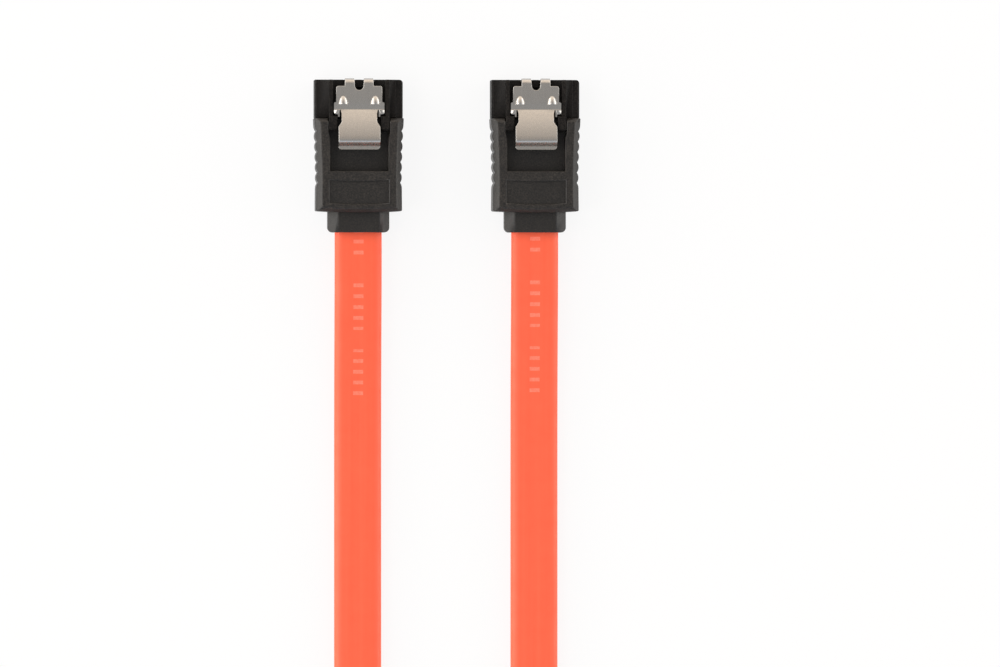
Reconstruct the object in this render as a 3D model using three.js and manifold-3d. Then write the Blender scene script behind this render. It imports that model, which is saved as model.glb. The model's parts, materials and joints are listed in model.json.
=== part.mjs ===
// A serial data cable: one flat red cable with a latching plug on each end.
// Millimetres, +Z up. Both plugs lie flat, latch side up, mating faces towards +Y.
// The origin is on the resting surface, midway between the two plugs.

import * as THREE from 'three';
import { mergeVertices } from 'three/addons/utils/BufferGeometryUtils.js';
import Module from 'manifold-3d';

const wasm = await Module();
wasm.setup();

// Whole cable
const plugPitch = 28.1;
const plugHalfLength = 12.22;

// Clearances
const mouldGap = 0.04;
const slideGap = 0.12;
const meetGap = 0.3;
const cutOver = 1;

// Nose of the plug housing
const noseInset = 0.13;
const noseBottom = 0.5;
const noseHeight = 4.7;
const noseFront = 12.0;
const noseCornerRadius = 0.55;
const tinyRadius = 0.1;
const noseEdgeChamfer = 0.25;
const noseStepWidth = 1.1;
const noseStepDrop = 0.45;

// Mating slot, an L lying on its back seen from the front
const slotWidth = 10.6;
const slotHeight = 1.3;
const slotFloor = 1.9;
const slotDepth = 7.0;
const slotKeyWidth = 1.2;
const slotKeyHeight = 2.4;
const slotLeadIn = 0.25;

// Seven contacts
const contactCount = 7;
const contactPitch = 1.27;
const contactWidth = 0.6;
const contactThickness = 0.25;
const contactBodyHeight = 1.45;
const contactCrown = 2.3;
const contactTipSetback = 1.1;
const contactTailLength = 2.2;
const contactSolderLength = 1.1;
const contactStepRun = 0.2;
const contactBeamRun = 2.0;
const contactNoseRun = 0.9;
const contactTipDrop = 0.75;
const grooveFloor = 1.0;
const grooveFrontWall = 0.8;
const conductedContacts = [1, 2, 4, 5];

// Rear block and flange of the housing, held inside the grip
const rearBlockWidth = 11.2;
const rearBlockTop = 3.86;
const rearBlockUnderGroove = 0.4;
const rearBlockLength = 4.5;
const flangeExtra = 0.5;
const flangeLength = 1.2;
const flangeSetback = 1.6;

// Rails beside the latch
const railWidth = 0.68;
const railTop = 6.55;
const railBlockFront = 6.1;
const railBlockRise = 0.4;
const railBlockWidth = 1.36;
const railOverhang = 2.1;
const railChamfer = 0.3;
const jointOverlap = 0.1;

// Channel for the latch's lower leaf, and the relief under its flanges
const channelFloor = 4.05;
const reliefWidth = 7.8;
const reliefFront = 7.4;
const reliefFloor = 4.7;

// Grip
const gripHeight = 6.6;
const gripFront = 5.9;
const gripFrontWidth = 14.26;
const gripWaistWidth = 13.6;
const gripRearWidth = 13.7;
const gripWaistAt = -3.9;
const gripRear = -8.75;
const gripRearBow = 0.35;
const gripEdge = 0.95;
const gripEndTrim = 0.35;

// Finger scallops on both sides of the grip
const scallopCount = 5;
const scallopPitch = 1.64;
const scallopDepth = 0.28;
const scallopStart = 3.84;
const scallopSteps = 6;

// Latch recess and label recess in the top of the grip
const recessWidth = 9.7;
const recessRearNarrowing = 0.5;
const recessStepLength = 0.8;
const recessFloor = 4.2;
const recessRear = -2.52;
const labelWidth = 9.4;
const labelLength = 3.6;
const labelDepth = 0.3;
const labelBow = 0.2;
const labelSetback = 1.46;

// Neck behind the grip
const neckWidth = 9.8;
const neckHeight = 4.2;
const neckChamfer = 1.6;
const neckChamferDrop = 1.1;
const neckCornerRadius = 0.8;

// Latch, one folded strip of spring steel
const sheet = 0.25;
const latchPlateTop = 6.35;
const latchFoldHeight = 1.72;
const latchFoldProud = 0.22;
const latchPlateWidth = 7.3;
const latchPlateFront = 10.97;
const latchPlateRear = 7.2;
const latchStripInner = 0.8;
const latchStripOuter = 2.27;
const latchNotchRadius = 0.7;
const latchNotchRear = 10.3;
const latchEarWidth = 8.0;
const latchEarFront = 8.3;
const latchEarRear = 6.47;
const latchTongueWidth = 5.6;
const latchTabWidth = 6.6;
const latchTabFront = 5.3;
const latchTabFull = 4.5;
const latchTabRear = 0.9;
const latchTabCorner = 0.45;
const latchCrestAt = 2.5;
const latchCrestHeight = 7.65;
const latchLipDrop = 0.95;
const latchLipRise = 0.02;
const latchTroughAt = 1.25;
const latchDropShape = [[0.15, 0.03], [0.28, 0.11], [0.4, 0.25], [0.76, 0.86], [0.87, 0.97]];
const latchDip = 0.13;
const latchLowerLeafRear = 8.2;
const catchSpacing = 5.1;
const catchRear = 8.05;
const catchLength = 1.4;
const catchWidth = 1.5;
const catchHeight = 0.62;
const flangeDrop = 0.3;
const flangeInset = 0.3;
const flangeReach = 0.4;
const foldSteps = 10;
const tongueSteps = 8;
const tongueArc = 0.45;
const latchCorner = 0.3;
const latchSlit = 0.15;
const latchNeckRun = 0.6;
const latchFlangeRear = 6.1;

// Cable jacket
const cableWidth = 7.5;
const cableThickness = 2.5;
const cableExitHeight = 2.9;
const cableEntry = 4.0;
const cableSteps = 80;
const cableCornerFacets = 2;

// Cores, conductors, drains, shields and comb inside the grip
const coreDiameter = 1.1;
const conductorDiameter = 0.4;
const wireBare = 0.5;
const wireEndInset = 0.2;
const shieldWall = 0.1;
const shieldLength = 2.6;
const drainInset = 0.46;
const drainBend = 1.0;
const combLength = 2.8;
const combRise = 0.35;
const chamberWidth = 9.2;
const chamberHeight = 2.0;

// Places worked out from the sizes above
const noseWidth = gripFrontWidth - 2 * noseInset;
const noseTop = noseBottom + noseHeight;
const noseRear = gripFront + mouldGap;
const rearBlockRear = gripFront - rearBlockLength;
const railOuter = recessWidth / 2 - mouldGap;
const railInner = railOuter - railWidth;
const railRear = gripFront - railOverhang;
const neckRear = -plugHalfLength;
const jacketEnd = neckRear + cableEntry;
const wireStart = jacketEnd + meetGap;
const conductorRadius = conductorDiameter / 2;
const tailLevel = cableExitHeight - conductorRadius - mouldGap - contactThickness / 2;
const tailRear = rearBlockRear - contactTailLength;
const shieldFront = wireStart + shieldLength;
const drainStart = shieldFront + meetGap / 2;
const solderFront = rearBlockRear - contactSolderLength;
const coreFront = tailRear - wireBare;
const pairOffset = 1.5 * contactPitch;
const flangeOuter = latchPlateWidth / 2 - flangeInset;

// Colours and finishes
function finish(color, roughness, metalness) {
  return new THREE.MeshStandardMaterial({ color, roughness, metalness });
}

const finishes = {
  grip: finish(0x2f2d2c, 0.55, 0),
  housing: finish(0x262322, 0.5, 0),
  steel: finish(0xa39b92, 0.3, 1),
  contact: finish(0xd0a850, 0.25, 1),
  copper: finish(0xc98a5a, 0.3, 1),
  foil: finish(0xc4c6c8, 0.3, 1),
  jacket: finish(0xfc6a4c, 0.45, 0),
  coreWhite: finish(0xe8e6df, 0.5, 0),
  coreBlue: finish(0x3a68b0, 0.5, 0),
  comb: finish(0xd8d3c4, 0.6, 0),
};

// A closed geometry becomes a solid that can be cut and joined
function toSolid(geometry) {
  const bare = geometry.clone();
  bare.deleteAttribute('normal');
  bare.deleteAttribute('uv');
  const merged = mergeVertices(bare, 1e-4);
  const vertProperties = new Float32Array(merged.attributes.position.array);
  const triVerts = new Uint32Array(merged.index.array);
  return new wasm.Manifold(new wasm.Mesh({ numProp: 3, vertProperties, triVerts }));
}

function toGeometry(solid) {
  const { vertProperties, triVerts } = solid.getMesh();
  const geometry = new THREE.BufferGeometry();
  geometry.setAttribute('position', new THREE.BufferAttribute(vertProperties, 3));
  geometry.setIndex(new THREE.BufferAttribute(triVerts, 1));
  geometry.computeVertexNormals();
  return geometry;
}

function joined(solids) {
  return solids.reduce((whole, solid) => whole.add(solid));
}

function block([x0, x1], [y0, y1], [z0, z1]) {
  const geometry = new THREE.BoxGeometry(x1 - x0, y1 - y0, z1 - z0);
  geometry.translate((x0 + x1) / 2, (y0 + y1) / 2, (z0 + z1) / 2);
  return toSolid(geometry);
}

function outline(points) {
  return new THREE.Shape(points.map(([a, b]) => new THREE.Vector2(a, b)));
}

// The right half of an outline, front to rear, and the same points on the left
function mirrored(rightSide) {
  const leftSide = rightSide.filter(([x]) => x > 0).map(([x, y]) => [-x, y]);
  return outline([...rightSide, ...leftSide.reverse()]);
}

function extrusion(shape, depth, curveSegments = 6) {
  return new THREE.ExtrudeGeometry(shape, { depth, curveSegments, bevelEnabled: false });
}

// A plan outline in X and Y, raised from z0 to z1
function raised(shape, z0, z1) {
  return toSolid(extrusion(shape, z1 - z0).translate(0, 0, z0));
}

// A front outline in X and Z, run from y0 to y1
function runAlongY(shape, y0, y1) {
  const geometry = extrusion(shape, y1 - y0);
  geometry.rotateX(Math.PI / 2);
  geometry.translate(0, y1, 0);
  return toSolid(geometry);
}

// A side outline in Y and Z, run from x0 to x1
function runAlongX(shape, x0, x1) {
  const geometry = extrusion(shape, x1 - x0);
  const turn = new THREE.Matrix4().makeBasis(
    new THREE.Vector3(0, 1, 0),
    new THREE.Vector3(0, 0, 1),
    new THREE.Vector3(1, 0, 0),
  );
  geometry.applyMatrix4(turn);
  geometry.translate(x0, 0, 0);
  return toSolid(geometry);
}

// A rounded rectangle, each corner with its own radius: right front, right rear, left rear, left front
function roundedRectangle([x0, x1], [y0, y1], [rf, rr, lr, lf]) {
  const shape = new THREE.Shape();
  shape.moveTo(x0 + lr, y0);
  shape.lineTo(x1 - rr, y0);
  shape.absarc(x1 - rr, y0 + rr, rr, -Math.PI / 2, 0);
  shape.lineTo(x1, y1 - rf);
  shape.absarc(x1 - rf, y1 - rf, rf, 0, Math.PI / 2);
  shape.lineTo(x0 + lf, y1);
  shape.absarc(x0 + lf, y1 - lf, lf, Math.PI / 2, Math.PI);
  shape.lineTo(x0, y0 + lr);
  shape.absarc(x0 + lr, y0 + lr, lr, Math.PI, 1.5 * Math.PI);
  return shape;
}

// The section of a bent strip of sheet metal: its middle line, thickened to both sides
function ribbon(middleLine, thickness) {
  const points = middleLine.map(([a, b]) => new THREE.Vector2(a, b));
  const normals = points.map((point, i) => {
    const before = points[Math.max(i - 1, 0)];
    const after = points[Math.min(i + 1, points.length - 1)];
    const into = point.clone().sub(before).normalize();
    const out = after.clone().sub(point).normalize();
    const along = into.clone().add(out).normalize();
    const stretch = Math.max(along.dot(into), along.dot(out));
    return new THREE.Vector2(-along.y, along.x).divideScalar(stretch);
  });
  const side = (sign) => points.map((point, i) => {
    return point.clone().addScaledVector(normals[i], sign * thickness / 2);
  });
  return new THREE.Shape([...side(1), ...side(-1).reverse()]);
}

// A flat cable section with round edges
function cableSection(width, thickness) {
  const radius = thickness / 2;
  const reach = width / 2 - radius;
  const shape = new THREE.Shape();
  shape.moveTo(-reach, -radius);
  shape.lineTo(reach, -radius);
  shape.absarc(reach, 0, radius, -Math.PI / 2, Math.PI / 2);
  shape.lineTo(-reach, radius);
  shape.absarc(-reach, 0, radius, Math.PI / 2, 1.5 * Math.PI);
  return shape;
}

// The grip's half width narrows from the front to the waist and widens a little behind it
function gripHalfWidth(y) {
  const front = gripFrontWidth / 2;
  const waist = gripWaistWidth / 2;
  const rear = gripRearWidth / 2;
  if (y > gripWaistAt) {
    return waist + (front - waist) * ((y - gripWaistAt) / (gripFront - gripWaistAt)) ** 1.5;
  }
  return waist + (rear - waist) * ((gripWaistAt - y) / (gripWaistAt - gripRear));
}

// How far the scallops take the side in at y: round bumps with a notch between each two
function scallopInset(y) {
  const turns = (scallopStart - y) / scallopPitch;
  if (turns < -0.5 || turns > scallopCount + 0.5) {
    return 0;
  }
  const fromCrown = (turns - Math.floor(turns) - 0.5) * scallopPitch;
  const radius = (scallopPitch ** 2 / 4 + scallopDepth ** 2) / (2 * scallopDepth);
  return radius - Math.sqrt(radius ** 2 - fromCrown ** 2);
}

// The grip seen from above; inset(y) says how far its sides are cut in at y
function gripOutline(inset, stepsPerPitch) {
  const rightSide = [];
  const start = gripFront + gripEndTrim;
  const end = gripRear - gripEndTrim;
  rightSide.push([gripHalfWidth(start), start]);
  const steps = (scallopCount + 1) * stepsPerPitch;
  for (let i = 0; i <= steps; i++) {
    const y = scallopStart + scallopPitch * (0.5 - i / stepsPerPitch);
    rightSide.push([gripHalfWidth(y) - inset(y), y]);
  }
  rightSide.push(...bowedEnd(gripHalfWidth(gripRear), end));
  return mirrored(rightSide);
}

// The rear edge of the grip bows back in the middle; these are the points of its right half
function bowedEnd(halfWidth, y) {
  return [1, 0.75, 0.5, 0.25, 0].map((share) => {
    return [halfWidth * share, y - gripRearBow * (1 - share ** 2)];
  });
}

// Flat bevels run straight along the grip, and the scallops cut into its sides below them
function gripBody() {
  const geometry = new THREE.ExtrudeGeometry(gripOutline(() => 0, 1), {
    depth: gripHeight - 2 * gripEdge,
    bevelThickness: gripEdge,
    bevelSize: gripEdge,
    bevelOffset: -gripEdge,
    bevelSegments: 1,
  });
  geometry.translate(0, 0, gripEdge);
  const wide = gripFrontWidth;
  const ahead = block([-wide, wide], [gripFront, gripFront + wide], [-cutOver, gripHeight + cutOver]);
  const behindPlan = mirrored([
    ...bowedEnd(wide / 2 + cutOver, gripRear).reverse(),
    [wide / 2 + cutOver, gripRear - wide],
  ]);
  const behind = raised(behindPlan, -cutOver, gripHeight + cutOver);
  const scalloped = raised(gripOutline(scallopInset, scallopSteps), -cutOver, gripHeight + cutOver);
  return toSolid(geometry).intersect(scalloped).subtract(ahead).subtract(behind);
}

// The neck: an eight-sided section whose rear corners are rounded in plan
function neckBody() {
  const half = neckWidth / 2;
  const low = cableExitHeight - neckHeight / 2;
  const high = cableExitHeight + neckHeight / 2;
  const section = mirrored([
    [half - neckChamfer, low],
    [half, low + neckChamferDrop],
    [half, high - neckChamferDrop],
    [half - neckChamfer, high],
  ]);
  const front = gripRear + gripEdge;
  const plan = roundedRectangle(
    [-half, half], [neckRear, front],
    [tinyRadius, neckCornerRadius, neckCornerRadius, tinyRadius],
  );
  return runAlongY(section, neckRear, front).intersect(raised(plan, 0, gripHeight));
}

function latchRecess() {
  const front = recessWidth / 2;
  const rear = front - recessRearNarrowing / 2;
  const plan = mirrored([
    [front, gripFront + cutOver],
    [front, railRear - meetGap],
    [rear, railRear - meetGap - recessStepLength],
    [rear, recessRear],
  ]);
  return raised(plan, recessFloor, gripHeight + cutOver);
}

function labelRecess() {
  const half = labelWidth / 2;
  const front = recessRear - labelSetback;
  const rear = front - labelLength;
  const rightSide = [0, 0.5, 1].map((share) => [half * share, front - labelBow * (1 - share ** 2)]);
  const rearSide = [1, 0.5, 0].map((share) => [half * share, rear - labelBow * (1 - share ** 2)]);
  const plan = mirrored([...rightSide, ...rearSide]);
  return raised(plan, gripHeight - labelDepth, gripHeight + cutOver);
}

// The rear block of the housing and its flange, made larger by gap where the grip is cut for them
function rearBlock(gap) {
  const half = rearBlockWidth / 2;
  const bottom = grooveFloor - rearBlockUnderGroove;
  const flangeFront = gripFront - flangeSetback;
  const tail = block(
    [-half - gap, half + gap],
    [rearBlockRear - gap, noseRear + mouldGap],
    [bottom - gap, rearBlockTop + gap],
  );
  const flange = block(
    [-half - flangeExtra - gap, half + flangeExtra + gap],
    [flangeFront - flangeLength - gap, flangeFront + gap],
    [bottom - gap, rearBlockTop + gap],
  );
  return tail.add(flange);
}

function overmould() {
  const chamber = block(
    [-chamberWidth / 2, chamberWidth / 2],
    [jacketEnd, rearBlockRear],
    [cableExitHeight - chamberHeight / 2, cableExitHeight + chamberHeight / 2],
  );
  const stepWell = block(
    [-chamberWidth / 2, chamberWidth / 2],
    [solderFront - 2 * mouldGap, rearBlockRear],
    [contactBodyHeight - contactThickness, cableExitHeight],
  );
  const bore = runAlongY(
    cableSection(cableWidth + 2 * slideGap, cableThickness + 2 * slideGap),
    neckRear - cutOver,
    wireStart,
  ).translate([0, 0, cableExitHeight]);
  return gripBody()
    .add(neckBody())
    .subtract(latchRecess())
    .subtract(labelRecess())
    .subtract(rearBlock(mouldGap))
    .subtract(chamber)
    .subtract(stepWell)
    .subtract(bore);
}

// The L of the mating slot, seen from the front: a long foot and a key standing at its right end
function matingSlot(grow, y0, y1) {
  const right = slotWidth / 2 + grow;
  const left = -slotWidth / 2 - grow;
  const inner = slotWidth / 2 - slotKeyWidth - grow;
  const low = slotFloor - grow;
  const high = slotFloor + slotHeight + grow;
  const keyTop = slotFloor + slotKeyHeight + grow;
  const shape = outline([
    [left, low], [right, low], [right, keyTop], [inner, keyTop], [inner, high], [left, high],
  ]);
  return runAlongY(shape, y0, y1);
}

function noseBody() {
  const half = noseWidth / 2;
  const edge = noseEdgeChamfer;
  const section = outline([
    [-half + edge, noseBottom],
    [half - edge, noseBottom],
    [half, noseBottom + edge],
    [half, noseTop - noseStepDrop - edge],
    [half - edge, noseTop - noseStepDrop],
    [half - noseStepWidth, noseTop - noseStepDrop],
    [half - noseStepWidth, noseTop],
    [-half + edge, noseTop],
    [-half, noseTop - edge],
    [-half, noseBottom + edge],
  ]);
  const plan = roundedRectangle(
    [-half, half], [noseRear, noseFront],
    [noseCornerRadius, tinyRadius, tinyRadius, tinyRadius],
  );
  return runAlongY(section, noseRear, noseFront).intersect(raised(plan, 0, gripHeight));
}

// A rail is low beside the latch plate; its taller, wider block reaches into the grip's recess
function rail(side) {
  const foot = noseTop - jointOverlap;
  const profile = outline([
    [noseFront, foot],
    [noseFront, railTop - railBlockRise - railChamfer],
    [noseFront - railChamfer, railTop - railBlockRise],
    [railBlockFront + railChamfer / 2, railTop - railBlockRise],
    [railBlockFront, railTop],
    [railRear + railChamfer, railTop],
    [railRear, railTop - railChamfer],
    [railRear, recessFloor + mouldGap],
    [noseRear, recessFloor + mouldGap],
    [noseRear, foot],
  ]);
  const blockInner = railOuter - railBlockWidth;
  const plan = outline([
    [side * railInner, noseFront + cutOver],
    [side * railOuter, noseFront + cutOver],
    [side * railOuter, railRear - cutOver],
    [side * (blockInner + railChamfer), railRear - cutOver],
    [side * (blockInner + railChamfer), railRear],
    [side * blockInner, railRear + railChamfer],
    [side * blockInner, railBlockFront + railChamfer / 2],
    [side * railInner, railBlockFront + railChamfer / 2],
  ]);
  const strip = runAlongX(profile, -recessWidth, recessWidth);
  return strip.intersect(raised(plan, 0, gripHeight + cutOver));
}

function contactPlace(index) {
  return (index - (contactCount - 1) / 2) * contactPitch;
}

// The way for one contact: a closed bore through the rear block, open into the slot ahead of it
function contactWay(x) {
  const half = contactWidth / 2 + mouldGap;
  const slotEnd = noseFront - slotDepth;
  const boreHalf = contactThickness / 2 + mouldGap;
  const bore = block(
    [x - half, x + half],
    [rearBlockRear - cutOver, slotEnd],
    [contactBodyHeight - boreHalf, contactBodyHeight + boreHalf],
  );
  const groove = block(
    [x - half, x + half],
    [slotEnd, noseFront - grooveFrontWall],
    [grooveFloor, slotFloor + slotHeight / 2],
  );
  return bore.add(groove);
}

// The open channel for the latch's lower leaf, with a post between its two strips
function latchChannel() {
  const half = latchStripOuter + slideGap;
  const postHalf = latchStripInner - 2 * slideGap;
  const channel = block(
    [-half, half],
    [latchLowerLeafRear - 2 * slideGap, noseFront + cutOver],
    [channelFloor, noseTop + cutOver],
  );
  const post = block(
    [-postHalf, postHalf],
    [latchNotchRear + 4 * slideGap, noseFront + cutOver],
    [channelFloor - cutOver, noseTop],
  );
  const relief = block(
    [-reliefWidth / 2, reliefWidth / 2],
    [noseRear - cutOver, reliefFront],
    [reliefFloor, noseTop + cutOver],
  );
  return channel.subtract(post).add(relief);
}

function housing() {
  const leadInStart = noseFront - slotLeadIn;
  const ways = Array.from({ length: contactCount }, (_, i) => contactWay(contactPlace(i)));
  return noseBody()
    .add(rearBlock(0))
    .subtract(matingSlot(0, noseFront - slotDepth, noseFront + cutOver))
    .subtract(matingSlot(slotLeadIn / 2, leadInStart, noseFront + cutOver))
    .subtract(joined(ways))
    .subtract(latchChannel())
    .add(rail(-1))
    .add(rail(1));
}

// The latch's middle line, from the lower leaf round the front fold to the thumb tab
function latchLine() {
  const plate = latchPlateTop - sheet / 2;
  const foldRadius = (latchFoldHeight - sheet) / 2;
  const foldY = noseFront + latchFoldProud - sheet / 2 - foldRadius;
  const foldZ = plate - foldRadius;
  const line = [[latchLowerLeafRear - cutOver, foldZ - foldRadius]];
  for (let i = 0; i <= foldSteps; i++) {
    const turn = Math.PI * (i / foldSteps - 0.5);
    line.push([foldY + foldRadius * Math.cos(turn), foldZ + foldRadius * Math.sin(turn)]);
  }
  line.push([latchEarFront, plate]);
  line.push([latchPlateRear + latchSlit, plate - latchDip]);
  const low = plate - latchDip;
  const earLine = [...line, [latchEarRear - cutOver, low]];
  const tongue = [...line, ...tongueLine(low)];
  return { tongue, earLine, foldZ };
}

// The tongue rises from the plate in an arc to its crest, drops behind it and ends in a lip
function tongueLine(base) {
  const crest = latchCrestHeight - sheet / 2;
  const run = latchPlateRear - latchCrestAt;
  const line = [];
  for (let i = 0; i <= tongueSteps; i++) {
    const share = i / tongueSteps;
    const arc = 1 - (1 - share) ** 2;
    const level = tongueArc * arc + (1 - tongueArc) * share;
    line.push([latchPlateRear - run * share, base + (crest - base) * level]);
  }
  const back = latchCrestAt - latchTroughAt;
  const trough = crest - latchLipDrop;
  for (const [share, fall] of latchDropShape) {
    line.push([latchCrestAt - share * back, crest - fall * latchLipDrop]);
  }
  line.push([latchTroughAt, trough]);
  line.push([latchTabRear, trough + latchLipRise]);
  line.push([latchTabRear - cutOver, trough + 2 * latchLipRise]);
  return line;
}

// The round-ended notch between the two front strips, its right half
function latchNotch() {
  return [0, 30, 60, 90].map((angle) => {
    const turn = THREE.MathUtils.degToRad(angle);
    const x = latchNotchRadius * Math.sin(turn);
    return [x, latchNotchRear + latchNotchRadius * (1 - Math.cos(turn))];
  });
}

// A sheet corner rounded off, from the end edge round to the side edge; into gives the sheet's side
function roundedCorner([x, y], [intoX, intoY], radius) {
  return [0, 30, 60, 90].map((angle) => {
    const turn = THREE.MathUtils.degToRad(angle);
    return [
      x + intoX * radius * (1 - Math.sin(turn)),
      y + intoY * radius * (1 - Math.cos(turn)),
    ];
  });
}

// Seen from above: two front strips, the plate, an ear on each side, the tongue and the thumb tab
function latchUpperPlan() {
  const plate = latchPlateWidth / 2;
  const ear = latchEarWidth / 2;
  const tongue = latchTongueWidth / 2;
  const tab = latchTabWidth / 2;
  return mirrored([
    ...latchNotch(),
    [latchStripInner, noseFront + cutOver],
    [latchStripOuter, noseFront + cutOver],
    [latchStripOuter, latchPlateFront],
    ...roundedCorner([plate, latchPlateFront], [-1, -1], latchCorner),
    [plate, latchEarFront + latchSlit],
    [ear, latchEarFront],
    [ear, latchPlateRear],
    [tongue + latchSlit, latchPlateRear],
    [tongue, latchPlateRear - latchNeckRun],
    [tongue, latchTabFront],
    [tab, latchTabFull],
    ...roundedCorner([tab, latchTabRear], [-1, 1], latchTabCorner).reverse(),
    [0, latchTabRear],
  ]);
}

// The rear half of an ear, which stays level beside the tongue
function latchEarPlan(side) {
  const ear = latchEarWidth / 2;
  const rightSide = [
    [flangeOuter - sheet, latchPlateRear + jointOverlap],
    [ear, latchPlateRear + jointOverlap],
    ...roundedCorner([ear, latchEarRear], [-1, 1], latchCorner).reverse(),
    [flangeOuter, latchEarRear],
    [flangeOuter - sheet, latchPlateRear],
  ];
  return outline(rightSide.map(([x, y]) => [side * x, y]));
}

function latchLowerPlan() {
  return mirrored([
    ...latchNotch(),
    [latchStripInner, noseFront + cutOver],
    [latchStripOuter, noseFront + cutOver],
    [latchStripOuter, latchLowerLeafRear + latchCorner],
    [latchStripOuter - latchCorner, latchLowerLeafRear],
    [0, latchLowerLeafRear],
  ]);
}

// A catch is half a dome pushed up out of the plate, cut off upright at its rear
function latchCatch(x) {
  const dome = new THREE.SphereGeometry(1, 16, 12);
  dome.rotateX(Math.PI / 2);
  dome.scale(catchWidth / 2, catchLength, catchHeight);
  dome.translate(x, catchRear, latchPlateTop);
  const keep = block(
    [x - catchWidth, x + catchWidth],
    [catchRear, catchRear + 2 * catchLength],
    [latchPlateTop - sheet / 2, latchPlateTop + 2 * catchHeight],
  );
  return toSolid(dome).intersect(keep);
}

// A flange bent down beside the tongue, tapering to its rear end
function latchFlange(side) {
  const low = latchPlateTop - sheet - flangeDrop;
  const high = latchPlateTop - sheet / 2 - latchDip;
  const profile = outline([
    [latchPlateRear + flangeReach, high + latchDip / 2],
    [latchPlateRear + flangeReach, low],
    [latchPlateRear - flangeReach, low],
    [latchFlangeRear, high - jointOverlap],
    [latchFlangeRear, high],
    [latchPlateRear, high],
  ]);
  const [x0, x1] = [side * (flangeOuter - sheet), side * flangeOuter].sort((a, b) => a - b);
  return runAlongX(profile, x0, x1);
}

function latch() {
  const { tongue, earLine, foldZ } = latchLine();
  const half = latchEarWidth / 2 + cutOver;
  const top = gripHeight + 2 * cutOver;
  const strip = runAlongX(ribbon(tongue, sheet), -half, half);
  const earStrip = runAlongX(ribbon(earLine, sheet), -half, half);
  const upper = strip.intersect(raised(latchUpperPlan(), foldZ - jointOverlap, top));
  const lower = strip.intersect(raised(latchLowerPlan(), 0, foldZ + jointOverlap));
  const ears = [-1, 1].map((side) => earStrip.intersect(raised(latchEarPlan(side), foldZ, top)));
  const flanges = [-1, 1].map(latchFlange);
  const catches = [-1, 1].map((side) => latchCatch(side * catchSpacing / 2));
  return joined([upper, lower, ...ears, ...flanges, ...catches]);
}

// A contact: solder tail, step down into the rear block, and a sprung beam crowned in the slot
function contact(x) {
  const crown = contactCrown - contactThickness / 2;
  const tip = noseFront - contactTipSetback;
  const crownAt = tip - 1.5 * contactNoseRun;
  const bend = contactStepRun / 2;
  const soften = contactThickness / 3;
  const stepFoot = rearBlockRear - contactStepRun;
  const line = [
    [tailRear, tailLevel],
    [solderFront - bend, tailLevel],
    [solderFront + bend, tailLevel - soften],
    [stepFoot - bend, contactBodyHeight + soften],
    [stepFoot + bend / 2, contactBodyHeight],
    [noseFront - slotDepth + contactStepRun, contactBodyHeight],
    [crownAt - contactBeamRun, contactBodyHeight + contactThickness],
    [crownAt - contactNoseRun / 2, crown - soften],
    [crownAt, crown],
    [crownAt + contactNoseRun / 2, crown - soften],
    [tip, crown - contactTipDrop],
  ];
  const half = contactWidth / 2;
  return runAlongX(ribbon(line, contactThickness), x - half, x + half);
}

function circle(radius) {
  const shape = new THREE.Shape();
  shape.absarc(0, 0, radius, 0, 2 * Math.PI);
  return shape;
}

// Round wire of one diameter along a straight stretch of Y
function wire(x, diameter, y0, y1) {
  return runAlongY(circle(diameter / 2), y0, y1).translate([x, 0, cableExitHeight]);
}

// The insulation of one signal core, open at both ends round its conductor
function coreSleeve(x) {
  const sleeve = wire(x, coreDiameter, wireStart, coreFront);
  const bore = wire(x, conductorDiameter + 2 * mouldGap, wireStart - cutOver, coreFront + cutOver);
  return sleeve.subtract(bore);
}

// A drain wire at the side comes out of the foil and bends out to its ground contact
function sideDrain(side) {
  const x = side * contactPlace(contactCount - 1);
  const points = [
    [x - side * drainInset, drainStart],
    [x - side * drainInset * 0.8, drainStart + drainBend],
    [x - side * drainInset * 0.2, tailRear - drainBend],
    [x, tailRear],
    [x, solderFront - wireEndInset],
  ];
  const route = new THREE.CatmullRomCurve3(
    points.map(([px, py]) => new THREE.Vector3(px, py, cableExitHeight)),
  );
  const geometry = new THREE.ExtrudeGeometry(circle(conductorRadius), {
    extrudePath: route,
    steps: 12,
    curveSegments: 5,
  });
  return toSolid(geometry);
}

// The foil round one pair of cores, open at both ends
function pairShield(x) {
  const inside = contactPitch + coreDiameter + 2 * mouldGap;
  const insideHeight = coreDiameter + 2 * mouldGap;
  const outer = cableSection(inside + 2 * shieldWall, insideHeight + 2 * shieldWall);
  const inner = cableSection(inside, insideHeight);
  const sleeve = runAlongY(outer, wireStart, shieldFront);
  const bore = runAlongY(inner, wireStart - cutOver, shieldFront + cutOver);
  return sleeve.subtract(bore).translate([x, 0, cableExitHeight]);
}

// The comb: a bar with a groove for each pair, one for the middle drain and a step for each side one
function wireComb() {
  const half = chamberWidth / 2 - 2 * mouldGap;
  const front = tailRear - meetGap;
  const rear = front - combLength;
  const bottom = cableExitHeight - chamberHeight / 2 + mouldGap;
  const top = cableExitHeight + combRise;
  const bar = block([-half, half], [rear, front], [bottom, top]);
  const along = [rear - cutOver, front + cutOver];
  const pairHalf = (contactPitch + coreDiameter) / 2 + mouldGap;
  const pairFloor = cableExitHeight - coreDiameter / 2 - mouldGap;
  const drainFloor = cableExitHeight - conductorRadius - mouldGap;
  const drainHalf = conductorRadius + mouldGap;
  const pairs = [-pairOffset, pairOffset].map((x) => {
    return block([x - pairHalf, x + pairHalf], along, [pairFloor, top + cutOver]);
  });
  const middle = block([-drainHalf, drainHalf], along, [drainFloor, top + cutOver]);
  const stepFrom = pairOffset + pairHalf - cutOver / 10;
  const steps = [-1, 1].map((side) => {
    const [x0, x1] = [side * stepFrom, side * (half + cutOver)].sort((a, b) => a - b);
    return block([x0, x1], along, [drainFloor, top + cutOver]);
  });
  return bar.subtract(joined([...pairs, middle, ...steps]));
}

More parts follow.
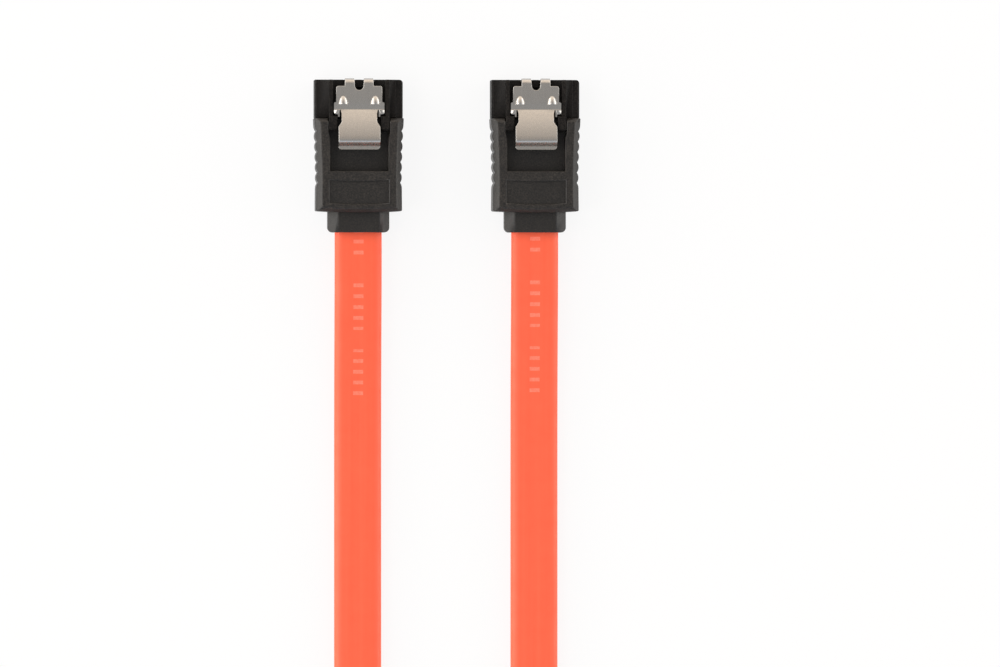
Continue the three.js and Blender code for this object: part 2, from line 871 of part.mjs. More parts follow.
// One half of the cable's route, from the plug at the right to the middle of the fold.
// It leaves the neck straight, sinks to the surface, runs back flat and then turns on edge.
const halfRoute = [
  [14.05, -8.22, 2.9],
  [14.05, -12.2, 2.9],
  [14.05, -16.5, 2.88],
  [14.05, -22, 2.62],
  [14.05, -29, 2.05],
  [14.05, -37, 1.5],
  [14.05, -46, 1.31],
  [14.05, -60, 1.28],
  [14.05, -78, 1.3],
  [14.05, -95, 1.34],
  [14.05, -106, 1.7],
  [14.05, -116, 2.52],
  [14.05, -127, 3.34],
  [14.05, -139, 3.76],
  [14.05, -152, 3.8],
  [14.25, -165, 3.8],
  [15.3, -177.5, 3.8],
  [17.6, -190, 3.8],
  [20.3, -202, 3.8],
  [22.1, -212, 3.8],
  [22.7, -221.5, 3.8],
  [19.66, -232.85, 3.8],
  [11.35, -241.16, 3.8],
];
const routeMiddle = [0, -244.2, 3.8];

// The flat cable stands up on its edge between these two distances behind the plugs
const twistStart = 95;
const twistEnd = 150;

class CableRoute extends THREE.CatmullRomCurve3 {
  constructor() {
    const left = halfRoute.map(([x, y, z]) => [-x, y, z]);
    const points = [...left, routeMiddle, ...[...halfRoute].reverse()];
    super(points.map(([x, y, z]) => new THREE.Vector3(x, y, z)), false, 'centripetal');
  }

  // The section's width lies level on the straight runs and stands upright round the fold
  computeFrenetFrames(segments) {
    const up = new THREE.Vector3(0, 0, 1);
    const frames = { tangents: [], normals: [], binormals: [] };
    for (let i = 0; i <= segments; i++) {
      const tangent = this.getTangentAt(i / segments);
      const behind = -this.getPointAt(i / segments).y;
      const roll = THREE.MathUtils.smoothstep(behind, twistStart, twistEnd) * Math.PI / 2;
      const outward = tangent.clone().cross(up).normalize();
      const face = up.clone().multiplyScalar(Math.cos(roll));
      face.addScaledVector(outward, Math.sin(roll));
      face.addScaledVector(tangent, -face.dot(tangent)).normalize();
      frames.tangents.push(tangent);
      frames.normals.push(face.clone().cross(tangent));
      frames.binormals.push(face);
    }
    return frames;
  }
}

function cableJacket() {
  const geometry = new THREE.ExtrudeGeometry(cableSection(cableWidth, cableThickness), {
    extrudePath: new CableRoute(),
    steps: cableSteps,
    curveSegments: cableCornerFacets,
  });
  return toSolid(geometry);
}

// The pieces of one plug, each with its name, geometry and finish
function plugPieces() {
  const pieces = [
    ['overmould', overmould(), finishes.grip],
    ['housing', housing(), finishes.housing],
    ['latch', latch(), finishes.steel],
    ['wire_comb', wireComb(), finishes.comb],
  ];
  for (let i = 0; i < contactCount; i++) {
    pieces.push([`contact_${i + 1}`, contact(contactPlace(i)), finishes.contact]);
  }
  conductedContacts.forEach((contactIndex, i) => {
    const x = contactPlace(contactIndex);
    const colour = i % 2 === 0 ? finishes.coreWhite : finishes.coreBlue;
    const conductor = wire(x, conductorDiameter, wireStart, solderFront - wireEndInset);
    pieces.push([`core_${i + 1}`, coreSleeve(x), colour]);
    pieces.push([`conductor_${i + 1}`, conductor, finishes.copper]);
  });
  const middleDrain = wire(0, conductorDiameter, wireStart, solderFront - wireEndInset);
  const drains = [sideDrain(-1), middleDrain, sideDrain(1)];
  drains.forEach((drain, i) => pieces.push([`drain_${i + 1}`, drain, finishes.copper]));
  [-1, 1].forEach((side, i) => {
    pieces.push([`shield_${i + 1}`, pairShield(side * pairOffset), finishes.foil]);
  });
  return pieces.map(([name, solid, material]) => [name, toGeometry(solid), material]);
}

function namedMesh(name, geometry, material) {
  const mesh = new THREE.Mesh(geometry, material);
  mesh.name = name;
  return mesh;
}

const cable = new THREE.Group();
const pieces = plugPieces();
for (const [letter, side] of [['a', -1], ['b', 1]]) {
  const plug = new THREE.Group();
  plug.position.x = side * plugPitch / 2;
  for (const [name, geometry, material] of pieces) {
    plug.add(namedMesh(`plug_${letter}_${name}`, geometry, material));
  }
  cable.add(plug);
}
cable.add(namedMesh('cable_jacket', toGeometry(cableJacket()), finishes.jacket));

export default cable;
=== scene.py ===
"""A flat red data cable with a latching plug on each end, seen from nearly straight above on white."""

import json
import math

import bpy
import numpy as np
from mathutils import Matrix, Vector


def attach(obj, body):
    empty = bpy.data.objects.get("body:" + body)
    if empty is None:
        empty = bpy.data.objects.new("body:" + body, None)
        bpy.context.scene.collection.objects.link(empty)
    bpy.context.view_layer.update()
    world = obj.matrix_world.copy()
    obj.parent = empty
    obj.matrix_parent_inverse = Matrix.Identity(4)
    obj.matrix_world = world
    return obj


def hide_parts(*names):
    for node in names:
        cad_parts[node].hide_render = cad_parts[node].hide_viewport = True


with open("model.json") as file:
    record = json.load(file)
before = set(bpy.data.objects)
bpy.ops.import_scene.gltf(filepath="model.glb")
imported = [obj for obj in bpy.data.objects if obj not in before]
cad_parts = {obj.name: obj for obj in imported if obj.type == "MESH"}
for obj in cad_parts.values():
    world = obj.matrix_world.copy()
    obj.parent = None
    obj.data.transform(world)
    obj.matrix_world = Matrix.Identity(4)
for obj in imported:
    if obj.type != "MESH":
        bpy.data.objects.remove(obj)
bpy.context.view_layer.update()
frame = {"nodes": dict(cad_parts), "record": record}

MM = 0.001

# The photograph in pixels: its size, its scale from the plug's width, and where it shows the middle
# between the plugs and the front of their noses
PHOTO_WIDTH = 1000
PHOTO_HEIGHT = 667
MM_PER_PIXEL = 0.159
PLUGS_MIDDLE_PIXEL_X = 446.4
NOSE_FRONT_PIXEL_Y = 80.2

# The camera: the front of the noses, the height of its aim and its sensor in millimetres, then its
# lean to the left, and in metres how far off it stands and what range it sees
NOSE_FRONT = 12.0
CAMERA_AIM_HEIGHT = 3.0
SENSOR_WIDTH = 36.0
CAMERA_TILT = math.radians(3.7)
CAMERA_DISTANCE = 1.6
CAMERA_SEES_FROM = 0.05
CAMERA_SEES_TO = 20

# The cable, in millimetres; it turns up on edge between the two distances of its twist
CABLE_LENGTH = 500
CABLE_WIDTH = 7.5
CABLE_THICKNESS = 2.5
LOBE_RISE = 0.07
TWIST_START = 95
TWIST_END = 150

# How finely the cable is made: millimetres between its rings, steps round a narrow side and across a face,
# and steps of the curve between two points of the route
RING_SPACING = 1.0
EDGE_STEPS = 8
FACE_STEPS = 14
CURVE_STEPS = 40

# The printed line on the jacket: runs of small plain bars, by distance from the nearer end of the jacket
PRINT_RUNS = [(4.0, 8.6), (11.7, 19.4), (22.5, 30.9)]
PRINT_PITCH = 1.72
PRINT_BAR = 0.6
PRINT_WIDTH = 1.6

# The right leg's middle line, from inside the neck to the far bend; the left leg mirrors it
HALF_ROUTE = [
    (14.05, -8.22, 2.9),
    (14.05, -12.2, 2.9),
    (14.05, -16.5, 2.88),
    (14.05, -22, 2.62),
    (14.05, -29, 2.05),
    (14.05, -37, 1.5),
    (14.05, -46, 1.31),
    (14.05, -60, 1.28),
    (14.05, -78, 1.3),
    (14.05, -95, 1.34),
    (14.05, -106, 1.7),
    (14.05, -116, 2.52),
    (14.05, -127, 3.34),
    (14.05, -139, 3.76),
    (14.05, -152, 3.8),
    (14.25, -165, 3.8),
    (15.3, -177.5, 3.8),
    (17.6, -190, 3.8),
    (20.3, -202, 3.8),
    (22.1, -212, 3.8),
    (22.7, -221.5, 3.8),
    (19.66, -232.85, 3.8),
    (11.35, -241.16, 3.8),
]
ROUTE_MIDDLE = (0, -244.2, 3.8)


def add_camera():
    """A long lens above the plugs, leaning a little to the left as the photograph does."""
    camera = bpy.data.cameras.new("camera")
    camera.sensor_width = SENSOR_WIDTH
    view_width = PHOTO_WIDTH * MM_PER_PIXEL * MM
    camera.lens = SENSOR_WIDTH * CAMERA_DISTANCE / view_width
    camera.clip_start = CAMERA_SEES_FROM
    camera.clip_end = CAMERA_SEES_TO
    thing = bpy.data.objects.new("camera", camera)
    bpy.context.scene.collection.objects.link(thing)
    aim = Vector((
        (PHOTO_WIDTH / 2 - PLUGS_MIDDLE_PIXEL_X) * MM_PER_PIXEL,
        NOSE_FRONT - (PHOTO_HEIGHT / 2 - NOSE_FRONT_PIXEL_Y) * MM_PER_PIXEL,
        CAMERA_AIM_HEIGHT,
    )) * MM
    back = Vector((-math.sin(CAMERA_TILT), 0, math.cos(CAMERA_TILT)))
    thing.location = aim + back * CAMERA_DISTANCE
    thing.rotation_euler = (0, -CAMERA_TILT, 0)
    bpy.context.scene.camera = thing


def spline_points(points, spacing):
    """A centripetal Catmull-Rom curve through the points: its points at even steps, and their distances."""
    knots = [Vector(p) for p in points]
    first = knots[0] * 2 - knots[1]
    last = knots[-1] * 2 - knots[-2]
    knots = [first, *knots, last]
    fine = []
    for before, start, end, after in zip(knots, knots[1:], knots[2:], knots[3:]):
        t1 = (start - before).length ** 0.5
        t2 = t1 + (end - start).length ** 0.5
        t3 = t2 + (after - end).length ** 0.5
        for i in range(CURVE_STEPS):
            t = t1 + (t2 - t1) * i / CURVE_STEPS
            a1 = before.lerp(start, t / t1)
            a2 = start.lerp(end, (t - t1) / (t2 - t1))
            a3 = end.lerp(after, (t - t2) / (t3 - t2))
            b1 = a1.lerp(a2, t / t2)
            b2 = a2.lerp(a3, (t - t1) / (t3 - t1))
            fine.append(b1.lerp(b2, (t - t1) / (t2 - t1)))
    fine.append(knots[-2])
    fine = np.array(fine)
    steps = np.linalg.norm(np.diff(fine, axis=0), axis=1)
    distance = np.concatenate([[0], np.cumsum(steps)])
    count = round(distance[-1] / spacing) + 1
    even = np.linspace(0, distance[-1], count)
    return np.stack([np.interp(even, distance, fine[:, k]) for k in range(3)], axis=1), even


def smoothstep(value, low, high):
    """0 up to low and 1 from high on, with a smooth rise between them."""
    share = min(max((value - low) / (high - low), 0), 1)
    return share * share * (3 - 2 * share)


def cable_section():
    """Across and up of each point round the flat cable, from the left end of its top over the right side.

    Each face has two shallow lobes, one over each pair of wires.
    """
    radius = CABLE_THICKNESS / 2
    reach = CABLE_WIDTH / 2 - radius
    top = []
    for i in range(FACE_STEPS + 1):
        across = reach * (2 * i / FACE_STEPS - 1)
        lobe = LOBE_RISE * math.sin(math.pi * across / reach) ** 2
        top.append((across, radius - LOBE_RISE + lobe))
    side = []
    for i in range(1, EDGE_STEPS):
        angle = math.pi * (0.5 - i / EDGE_STEPS)
        shrink = 1 - LOBE_RISE / radius * abs(math.sin(angle))
        side.append((reach + radius * math.cos(angle), radius * math.sin(angle) * shrink))
    right_half = [*top, *side]
    left_half = [(-across, -up) for across, up in right_half]
    return right_half + left_half


def make_cable():
    """The cable's jacket, swept along its route; it stands up on edge round the far fold."""
    left = [(-x, y, z) for x, y, z in HALF_ROUTE]
    centres, along = spline_points([*left, ROUTE_MIDDLE, *reversed(HALF_ROUTE)], RING_SPACING)
    section = cable_section()
    up = Vector((0, 0, 1))
    vertices = []
    for i, centre in enumerate(centres):
        ahead = centres[min(i + 1, len(centres) - 1)]
        behind = centres[max(i - 1, 0)]
        tangent = Vector(ahead - behind).normalized()
        roll = smoothstep(-centre[1], TWIST_START, TWIST_END) * math.pi / 2
        outward = tangent.cross(up).normalized()
        face = up * math.cos(roll) + outward * math.sin(roll)
        face = (face - tangent * face.dot(tangent)).normalized()
        width = face.cross(tangent)
        middle = Vector(centre)
        vertices += [(middle + width * a + face * u) * MM for a, u in section]
    size = len(section)
    faces = []
    for ring in range(len(centres) - 1):
        for k in range(size):
            here = ring * size + k
            beside = ring * size + (k + 1) % size
            faces.append((here, here + size, beside + size, beside))
    faces.append(tuple(range(size)))
    last = (len(centres) - 1) * size
    faces.append(tuple(reversed(range(last, last + size))))
    mesh = bpy.data.meshes.new("cable")
    mesh.from_pydata(vertices, [], faces)
    mesh.update()
    lay = mesh.attributes.new("lay_of_cable", "FLOAT_VECTOR", "POINT")
    for i, distance in enumerate(along):
        for k, (across, height) in enumerate(section):
            lay.data[i * size + k].vector = (across, distance, height)
    for polygon in mesh.polygons:
        polygon.use_smooth = len(polygon.vertices) == 4
    cable = bpy.data.objects.new("flat_cable", mesh)
    bpy.context.scene.collection.objects.link(cable)
    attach(cable, "cable")
    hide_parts("cable_jacket")
    return cable


def linear(red, green, blue):
    """A colour as a screen shows it, 0 to 255, in the numbers that a shader takes."""
    def channel(value):
        share = value / 255
        return share / 12.92 if share <= 0.04045 else ((share + 0.055) / 1.055) ** 2.4
    return (channel(red), channel(green), channel(blue), 1)


class Nodes:
    """A node tree, with short calls for the nodes that materials, world and edge marks share."""

    def __init__(self, tree):
        self.tree = tree

    def node(self, kind, **settings):
        made = self.tree.nodes.new(kind)
        for key, value in settings.items():
            setattr(made, key, value)
        return made

    def link(self, source, target):
        self.tree.links.new(source, target)

    def feed(self, target, value):
        """Link another node's output to an input, or set the input to a plain value."""
        if isinstance(value, bpy.types.NodeSocket):
            self.link(value, target)
        else:
            target.default_value = value

    def math(self, operation, first, second=0.0):
        made = self.node("ShaderNodeMath", operation=operation)
        self.feed(made.inputs[0], first)
        self.feed(made.inputs[1], second)
        return made.outputs[0]

    def product(self, *factors):
        """The product of several plain numbers or outputs."""
        result = factors[0]
        for factor in factors[1:]:
            result = self.math("MULTIPLY", result, factor)
        return result

    def parts(self, vector):
        """The three parts of a vector."""
        made = self.node("ShaderNodeSeparateXYZ")
        self.link(vector, made.inputs[0])
        return made.outputs[0], made.outputs[1], made.outputs[2]

    def mix(self, share, first, second):
        """A colour between two others; inputs 6 and 7 and output 2 are the node's colour sockets."""
        made = self.node("ShaderNodeMix", data_type="RGBA")
        self.feed(made.inputs[0], share)
        self.feed(made.inputs[6], first)
        self.feed(made.inputs[7], second)
        return made.outputs[2]

    def map_range(self, value, start, end, low, high, curve="LINEAR"):
        """Takes the range start to end to the range low to high, and holds it there."""
        made = self.node("ShaderNodeMapRange", interpolation_type=curve)
        made.inputs["From Min"].default_value = start
        made.inputs["From Max"].default_value = end
        made.inputs["To Min"].default_value = low
        made.inputs["To Max"].default_value = high
        self.link(value, made.inputs["Value"])
        return made.outputs["Result"]

    def ramp(self, value, limits):
        """A smooth rise from 0 at the first limit to 1 at the second."""
        return self.map_range(value, *limits, 0, 1, "SMOOTHSTEP")


# Nearly all values of a noise texture lie between these two
NOISE_LOW = 0.3
NOISE_HIGH = 0.7


class Shader(Nodes):
    """A material and its node tree, with short calls for what the finishes share."""

    def __init__(self, name):
        self.material = bpy.data.materials.new(name)
        self.material.use_nodes = True
        super().__init__(self.material.node_tree)
        self.surface = self.tree.nodes["Principled BSDF"]

    def dress(self, **inputs):
        """Give inputs of the surface a plain value or another node's output; _ stands for a space."""
        for key, value in inputs.items():
            self.feed(self.surface.inputs[key.replace("_", " ")], value)

    def stretched(self, vector, scale):
        """A vector with each of its parts multiplied by one of scale."""
        made = self.node("ShaderNodeMapping")
        made.inputs["Scale"].default_value = scale
        self.link(vector, made.inputs["Vector"])
        return made.outputs["Vector"]

    def place(self, scale=(1, 1, 1)):
        """The point of the surface in the object's own frame, in metres, stretched by scale."""
        return self.stretched(self.node("ShaderNodeTexCoord").outputs["Object"], scale)

    def noise(self, place, scale, detail=2, roughness=0.5):
        made = self.node("ShaderNodeTexNoise")
        made.inputs["Scale"].default_value = scale
        made.inputs["Detail"].default_value = detail
        made.inputs["Roughness"].default_value = roughness
        self.link(place, made.inputs["Vector"])
        return made.outputs["Fac"]

    def spread(self, noise, low, high):
        """Noise that fills the range low to high."""
        return self.map_range(noise, NOISE_LOW, NOISE_HIGH, low, high)

    def bump(self, height, strength, distance, below=None):
        """The surface's bump from a height, over another bump if one is given below."""
        made = self.node("ShaderNodeBump")
        made.inputs["Strength"].default_value = strength
        made.inputs["Distance"].default_value = distance
        self.link(height, made.inputs["Height"])
        if below is not None:
            self.link(below, made.inputs["Normal"])
        return made.outputs["Normal"]


# The moulded plastics' specks: the range that the grain is spread over, cut off at 0 and 1, the range of
# their patches, and the share of them that faces below the given height show
SPECKS_OVER_GRAIN = (-0.5, 1.28)
SPECKS_OVER_PATCHES = (0.5, 1.0)
SPECKS_LOW_FACES = 0.65

# How far below and above its plain roughness the grain takes moulded plastic
GRAIN_SMOOTHER = 0.07
GRAIN_ROUGHER = 0.1

# The latch's drawn lines lie along the strip
STEEL_STRETCH = (7000, 500, 7000)

# The pale tint in the grain of the small metal parts
PALE_METAL = linear(235, 228, 214)

# The share of its brightness that a wire's insulation or the comb keeps where it is deepest in tint
CORE_DEEPER = 0.85

# The jacket's noise goes by the cable's own lay, in millimetres; its drawing lines run lengthwise
DRAWING_STRETCH = (1.6, 0.02, 1.6)
DRAWING_SHARE = 0.3


def moulded_plastic(name, colour, speck_colour, roughness, gloss, specks_fuller_above):
    """Black moulded plastic with a spark-eroded grain whose tips show as small warm specks.

    The faces above the given height, in millimetres, show more of them, so the lower faces and the recesses
    come out darker.
    """
    shader = Shader(name)
    place = shader.place()
    grain = shader.noise(place, scale=4800, detail=3, roughness=0.65)
    patches = shader.noise(place, scale=380, detail=3, roughness=0.6)
    pores = shader.noise(place, scale=14000, detail=2, roughness=0.6)
    height = shader.parts(place)[2]
    # Faces above the given height show all the specks, lower faces and recesses only a share, so the lower
    # ones come out darker
    above_height = shader.math("GREATER_THAN", height, specks_fuller_above * MM)
    specks_by_height = shader.math("ADD", SPECKS_LOW_FACES, shader.product(above_height, 1 - SPECKS_LOW_FACES))
    tips = shader.spread(grain, *SPECKS_OVER_GRAIN)
    specks = shader.product(tips, shader.spread(patches, *SPECKS_OVER_PATCHES), specks_by_height)
    coarse = shader.bump(grain, strength=0.5, distance=0.00005)
    shader.dress(
        Base_Color=shader.mix(specks, colour, speck_colour),
        Roughness=shader.spread(grain, roughness - GRAIN_SMOOTHER, roughness + GRAIN_ROUGHER),
        Normal=shader.bump(pores, strength=0.3, distance=0.00002, below=coarse),
        Specular_IOR_Level=gloss,
    )
    return shader.material


def brushed_steel():
    """Thin rolled spring steel: a faint mottle, and finer drawn lines along the strip."""
    shader = Shader("latch_steel")
    drawn = shader.noise(shader.place(STEEL_STRETCH), scale=1)
    mottle = shader.noise(shader.place(), scale=2600, detail=3, roughness=0.6)
    lines = shader.bump(drawn, strength=0.06, distance=0.00001)
    shader.dress(
        Base_Color=shader.mix(shader.spread(mottle, 0, 1), linear(202, 198, 193), linear(192, 189, 185)),
        Roughness=shader.math("ADD", shader.spread(drawn, 0.11, 0.15), shader.spread(mottle, 0.13, 0.18)),
        Normal=shader.bump(mottle, strength=0.05, distance=0.00001, below=lines),
        Metallic=1.0,
    )
    return shader.material


def plain_metal(name, colour, roughness, grain_scale):
    """A small metal part: its own colour, a little paler in places, with fine uneven gloss."""
    shader = Shader(name)
    grain = shader.noise(shader.place(), grain_scale, detail=3)
    shader.dress(
        Base_Color=shader.mix(shader.spread(grain, 0, 0.4), colour, PALE_METAL),
        Roughness=shader.spread(grain, roughness, roughness + 0.15),
        Normal=shader.bump(grain, strength=0.15, distance=0.00001),
        Metallic=1.0,
    )
    return shader.material


def core_plastic(name, colour):
    """Smooth moulded or drawn plastic, a little glossy and slightly uneven in tint."""
    shader = Shader(name)
    uneven = shader.noise(shader.place(), scale=1500)
    deeper = tuple(c * CORE_DEEPER for c in colour[:3]) + (1,)
    shader.dress(
        Base_Color=shader.mix(shader.spread(uneven, 0, 1), colour, deeper),
        Roughness=shader.spread(uneven, 0.35, 0.5),
    )
    return shader.material


def print_marks(shader, lay):
    """How strongly each point of the jacket is printed: plain bars on the upper face near each end."""
    across, along, height = shader.parts(lay)
    near = shader.math("MINIMUM", along, shader.math("SUBTRACT", CABLE_LENGTH, along))
    in_run = 0.0
    for start, end in PRINT_RUNS:
        begun = shader.math("GREATER_THAN", near, start)
        inside = shader.product(begun, shader.math("LESS_THAN", near, end))
        in_run = shader.math("MAXIMUM", in_run, inside)
    in_bar = shader.math("LESS_THAN", shader.math("MODULO", near, PRINT_PITCH), PRINT_BAR)
    in_line = shader.math("LESS_THAN", shader.math("ABSOLUTE", across), PRINT_WIDTH / 2)
    upward = shader.math("GREATER_THAN", height, 0)
    left_by_wear = shader.spread(shader.noise(lay, scale=2.5, detail=4, roughness=0.7), 0.2, 0.6)
    return shader.product(in_run, in_bar, in_line, upward, left_by_wear)


def cable_jacket():
    """Coral PVC: satin, slightly cloudy, with faint drawing lines and the printed bars."""
    shader = Shader("cable_jacket")
    lay = shader.node("ShaderNodeAttribute", attribute_name="lay_of_cable").outputs["Vector"]
    drawing = shader.noise(shader.stretched(lay, DRAWING_STRETCH), scale=1)
    cloud = shader.noise(lay, scale=0.35, detail=3)
    fine = shader.noise(lay, scale=6, detail=3, roughness=0.6)
    body = shader.mix(shader.spread(cloud, 0, 1), linear(247, 98, 67), linear(245, 94, 63))
    drawn = shader.product(shader.spread(drawing, 0, 1), DRAWING_SHARE)
    body = shader.mix(drawn, body, linear(249, 107, 76))
    body = shader.mix(print_marks(shader, lay), body, linear(255, 154, 133))
    ridges = shader.bump(drawing, strength=0.3, distance=0.00003)
    shader.dress(
        Base_Color=body,
        Roughness=shader.spread(cloud, 0.42, 0.52),
        Normal=shader.bump(fine, strength=0.12, distance=0.00002, below=ridges),
        Specular_IOR_Level=0.35,
    )
    return shader.material


def make_finishes():
    """The material of each material slot."""
    return {
        "grip": moulded_plastic(
            "grip", linear(16, 15, 14), linear(56, 51, 47),
            roughness=0.42, gloss=0.47, specks_fuller_above=6.45,
        ),
        "housing": moulded_plastic(
            "housing", linear(14, 13, 13), linear(44, 40, 37),
            roughness=0.5, gloss=0.14, specks_fuller_above=6.0,
        ),
        "latch_steel": brushed_steel(),
        "contact_gold": plain_metal("contact_gold", linear(222, 176, 92), roughness=0.22, grain_scale=2500),
        "copper": plain_metal("copper", linear(205, 140, 100), roughness=0.3, grain_scale=3000),
        "foil": plain_metal("foil", linear(205, 207, 210), roughness=0.3, grain_scale=1200),
        "core_white": core_plastic("core_white", linear(236, 234, 226)),
        "core_blue": core_plastic("core_blue", linear(58, 104, 176)),
        "comb": core_plastic("comb", linear(222, 217, 202)),
        "cable_jacket": cable_jacket(),
    }


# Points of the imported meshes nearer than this, in metres, are one point, and faces that turn less than
# this are one face
WELD_DISTANCE = 1e-6
FLAT_ANGLE = math.radians(0.5)

# The rounding of the worn outward edges on each kind of piece, in millimetres. An edge that turns less
# than the smooth angle is part of a curve, and one that meets an edge shorter than so many roundings
# keeps its corner, because the rounding would have no room there
EDGE_ROUNDING = {"grip": 0.18, "housing": 0.1, "latch_steel": 0.07, "comb": 0.05}
EDGE_SEGMENTS = 2
SMOOTH_ANGLE = math.radians(28)
EDGE_ROOM = 1.5

# An edge that isn't rounded is shaded as a crease when it turns more than this
CREASE_ANGLE = math.radians(25)

# How much the large faces govern the shading of their edges, out of 100
LARGE_FACES_SHARE = 90

# Steel faces with this many corners or more are cut into triangles once their shading is set, which
# keeps a false streak off the lip of the latch
CUT_FROM_CORNERS = 5


def edge_marks(width):
    """A node group that marks the outward edges to round, but none that meets a short edge.

    The other edges are marked sharp where they turn too far to be part of a curve.
    """
    group = bpy.data.node_groups.new("edge_marks", "GeometryNodeTree")
    group.interface.new_socket("Geometry", in_out="INPUT", socket_type="NodeSocketGeometry")
    group.interface.new_socket("Geometry", in_out="OUTPUT", socket_type="NodeSocketGeometry")
    marks = Nodes(group)
    ends = marks.node("GeometryNodeInputMeshEdgeVertices")
    length = marks.node("ShaderNodeVectorMath", operation="DISTANCE")
    marks.link(ends.outputs["Position 1"], length.inputs[0])
    marks.link(ends.outputs["Position 2"], length.inputs[1])
    shortest = []
    for end in ("Vertex Index 1", "Vertex Index 2"):
        meeting = marks.node("GeometryNodeEdgesOfVertex")
        marks.link(ends.outputs[end], meeting.inputs["Vertex Index"])
        marks.link(length.outputs["Value"], meeting.inputs["Weights"])
        look = marks.node("GeometryNodeFieldAtIndex", data_type="FLOAT", domain="EDGE")
        marks.link(meeting.outputs["Edge Index"], look.inputs["Index"])
        marks.link(length.outputs["Value"], look.inputs["Value"])
        shortest.append(look.outputs["Value"])
    room = marks.math("GREATER_THAN", marks.math("MINIMUM", *shortest), EDGE_ROOM * width * MM)
    angle = marks.node("GeometryNodeInputMeshEdgeAngle")
    outward = marks.math("GREATER_THAN", angle.outputs["Signed Angle"], SMOOTH_ANGLE)
    rounded = marks.product(outward, room)
    folded = marks.math("GREATER_THAN", angle.outputs["Unsigned Angle"], CREASE_ANGLE)
    crease = marks.math("GREATER_THAN", folded, rounded)
    shape = marks.node("NodeGroupInput").outputs[0]
    for kind, name, value in (("FLOAT", "bevel_weight_edge", rounded), ("BOOLEAN", "sharp_edge", crease)):
        store = marks.node("GeometryNodeStoreNamedAttribute", data_type=kind, domain="EDGE")
        store.inputs["Name"].default_value = name
        marks.link(shape, store.inputs["Geometry"])
        marks.link(value, store.inputs["Value"])
        shape = store.outputs[0]
    marks.link(shape, marks.node("NodeGroupOutput").inputs[0])
    return group


def add_modifier(piece, name, kind, **settings):
    """A modifier on a piece, with its settings."""
    made = piece.modifiers.new(name, kind)
    for key, value in settings.items():
        setattr(made, key, value)


def dress_cad_nodes(finishes):
    """Every carried-over piece gets its finish and smooth curves, and the kinds in EDGE_ROUNDING get
    rounded edges too.
    """
    slots = {part["node"]: part["material_slot"] for part in frame["record"]["subparts"]}
    marks = {kind: edge_marks(width) for kind, width in EDGE_ROUNDING.items()}
    for name, piece in frame["nodes"].items():
        kind = slots[name]
        piece.data.materials.clear()
        piece.data.materials.append(finishes[kind])
        for polygon in piece.data.polygons:
            polygon.use_smooth = True
        add_modifier(piece, "weld", "WELD", merge_threshold=WELD_DISTANCE)
        add_modifier(piece, "flat", "DECIMATE", decimate_type="DISSOLVE", angle_limit=FLAT_ANGLE)
        if kind in EDGE_ROUNDING:
            add_modifier(piece, "marks", "NODES", node_group=marks[kind])
            add_modifier(
                piece, "edge", "BEVEL",
                width=EDGE_ROUNDING[kind] * MM,
                segments=EDGE_SEGMENTS,
                limit_method="WEIGHT",
                use_clamp_overlap=False,
            )
        add_modifier(
            piece, "shade", "WEIGHTED_NORMAL",
            mode="FACE_AREA",
            weight=LARGE_FACES_SHARE,
            keep_sharp=True,
        )
        if kind == "latch_steel":
            add_modifier(
                piece, "cut", "TRIANGULATE",
                min_vertices=CUT_FROM_CORNERS,
                keep_custom_normals=True,
            )


# The floor, in metres; it lies a hair below the cable. Its own grey takes the shadow, and the white glow
# that the camera and the metal see hides most of it
FLOOR_HALF = 3.0
FLOOR_DROP = 0.00002
FLOOR_GREY = 0.93
FLOOR_ROUGHNESS = 0.9
FLOOR_GLOW = 0.99
FLOOR_GLOW_SHARE = 0.88


def add_floor():
    """A white sheet under the cable that keeps a faint share of the shadow, as the photograph does."""
    half = FLOOR_HALF
    mesh = bpy.data.meshes.new("floor")
    corners = [(-half, -half, 0), (half, -half, 0), (half, half, 0), (-half, half, 0)]
    mesh.from_pydata(corners, [], [(0, 1, 2, 3)])
    floor = bpy.data.objects.new("floor", mesh)
    bpy.context.scene.collection.objects.link(floor)
    floor.location.z = -FLOOR_DROP
    shader = Shader("floor")
    shader.dress(
        Base_Color=(FLOOR_GREY, FLOOR_GREY, FLOOR_GREY, 1),
        Roughness=FLOOR_ROUGHNESS,
        Specular_IOR_Level=0.0,
    )
    rays = shader.node("ShaderNodeLightPath")
    seen = shader.math("MAXIMUM", rays.outputs["Is Camera Ray"], rays.outputs["Is Glossy Ray"])
    seen = shader.math("MAXIMUM", seen, rays.outputs["Is Transmission Ray"])
    white = shader.node("ShaderNodeEmission")
    white.inputs["Strength"].default_value = FLOOR_GLOW
    blend = shader.node("ShaderNodeMixShader")
    shader.link(shader.product(seen, FLOOR_GLOW_SHARE), blend.inputs[0])
    shader.link(shader.surface.outputs[0], blend.inputs[1])
    shader.link(white.outputs[0], blend.inputs[2])
    shader.link(blend.outputs[0], shader.tree.nodes["Material Output"].inputs["Surface"])
    floor.data.materials.append(shader.material)


# The one lamp, in metres and watts
KEY_PLACE = (-0.5, -0.15, 0.7)
KEY_AIM = (0, -0.02, 0)
KEY_SIZE = 0.3
KEY_POWER = 1.0
KEY_COLOUR = (1.0, 0.94, 0.88)


def add_key_lamp():
    """A soft, slightly warm lamp high on the left."""
    light = bpy.data.lights.new("key", "AREA")
    light.shape = "SQUARE"
    light.size = KEY_SIZE
    light.energy = KEY_POWER
    light.color = KEY_COLOUR
    thing = bpy.data.objects.new("key", light)
    bpy.context.scene.collection.objects.link(thing)
    thing.location = KEY_PLACE
    thing.rotation_euler = (Vector(KEY_AIM) - Vector(KEY_PLACE)).to_track_quat("-Z", "Y").to_euler()


def glow(strength, tint=(1, 1, 1)):
    """The colour of one part of the room, from its strength and tint."""
    return tuple(strength * c for c in tint) + (1,)


WARM = (1.0, 0.87, 0.74)
COOL = (0.84, 0.93, 1.08)

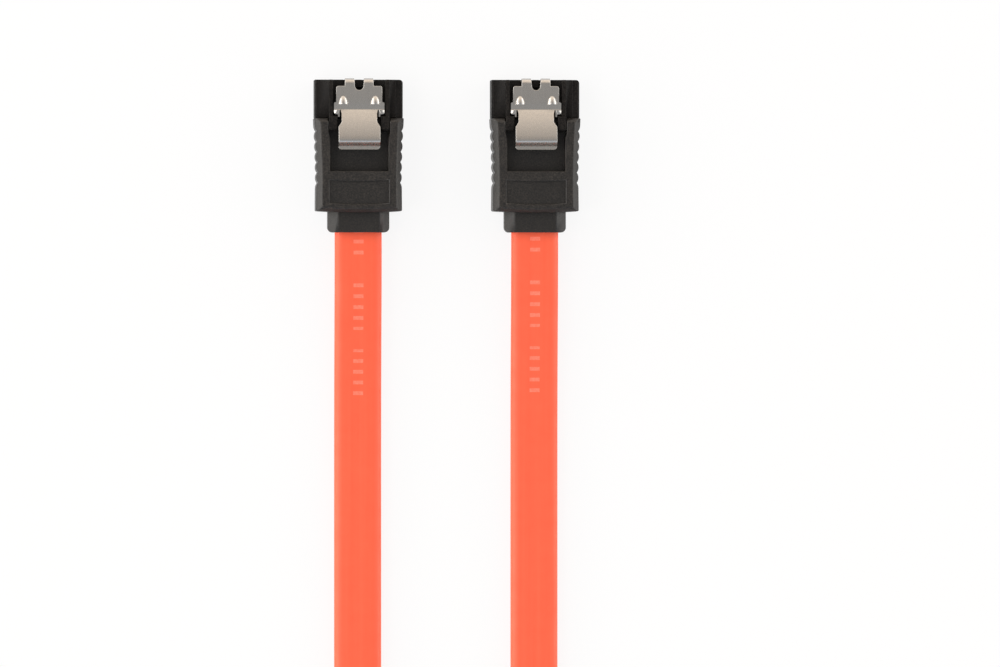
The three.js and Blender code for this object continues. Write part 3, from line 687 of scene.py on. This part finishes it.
# The cover overhead and the direction of its middle, the ring round the cover, and the low band under it
COVER = glow(0.37)
COVER_FAR = glow(0.4, (1.0, 0.84, 0.7))
COVER_MIDDLE = (0.03, -0.09, 0.9955)
RING_LEFT = glow(1.7)
RING_RIGHT = glow(1.45)
RING_FAR = glow(1.28, WARM)
RING_NEAR = glow(1.05, COOL)
LOW_LEFT = glow(4.5, (1.0, 0.97, 0.92))
LOW_RIGHT = glow(3.3, (1.0, 0.97, 0.93))
LOW_FAR = glow(1.5, WARM)
LOW_NEAR = glow(0.35, WARM)

# Where one of these gives way to the next, as a part of the unit direction that is looked in
RING_LEFT_TO_RIGHT = (-0.6, 0.6)
RING_TO_FAR = (0.2, 0.75)
RING_TO_NEAR = (-0.2, -0.75)
LOW_LEFT_TO_RIGHT = (-0.5, 0.5)
LOW_TO_FAR = (0.5, 0.9)
LOW_TO_NEAR = (-0.5, -0.9)
LOW_TO_RING = (0.25, 0.5)
COVER_TO_FAR = (0.05, 0.35)
RING_TO_COVER = (0.5, 1.0)


def add_room():
    """A white tent as the world: dim straight overhead, brighter round that, brightest low at both sides.

    It is warm beyond the plugs, cool and then dim on the near side, and plain white to the camera.
    """
    world = bpy.data.worlds.new("room")
    bpy.context.scene.world = world
    world.use_nodes = True
    room = Nodes(world.node_tree)
    direction = room.node("ShaderNodeTexCoord").outputs["Generated"]
    across, beyond, height = room.parts(direction)
    ring = room.mix(room.ramp(across, RING_LEFT_TO_RIGHT), RING_LEFT, RING_RIGHT)
    ring = room.mix(room.ramp(beyond, RING_TO_FAR), ring, RING_FAR)
    ring = room.mix(room.ramp(beyond, RING_TO_NEAR), ring, RING_NEAR)
    low = room.mix(room.ramp(across, LOW_LEFT_TO_RIGHT), LOW_LEFT, LOW_RIGHT)
    low = room.mix(room.ramp(beyond, LOW_TO_FAR), low, LOW_FAR)
    low = room.mix(room.ramp(beyond, LOW_TO_NEAR), low, LOW_NEAR)
    tent = room.mix(room.ramp(height, LOW_TO_RING), low, ring)
    overhead = room.node("ShaderNodeVectorMath", operation="DOT_PRODUCT")
    room.link(direction, overhead.inputs[0])
    overhead.inputs[1].default_value = COVER_MIDDLE
    cover = room.mix(room.ramp(beyond, COVER_TO_FAR), COVER, COVER_FAR)
    tent = room.mix(room.ramp(overhead.outputs["Value"], RING_TO_COVER), tent, cover)
    rays = room.node("ShaderNodeLightPath")
    tent = room.mix(rays.outputs["Is Camera Ray"], tent, (1, 1, 1, 1))
    room.link(tent, room.tree.nodes["Background"].inputs["Color"])


add_camera()
cable = make_cable()
finishes = make_finishes()
cable.data.materials.append(finishes["cable_jacket"])
dress_cad_nodes(finishes)
add_floor()
add_key_lamp()
add_room()
bpy.context.scene.view_settings.view_transform = "Standard"
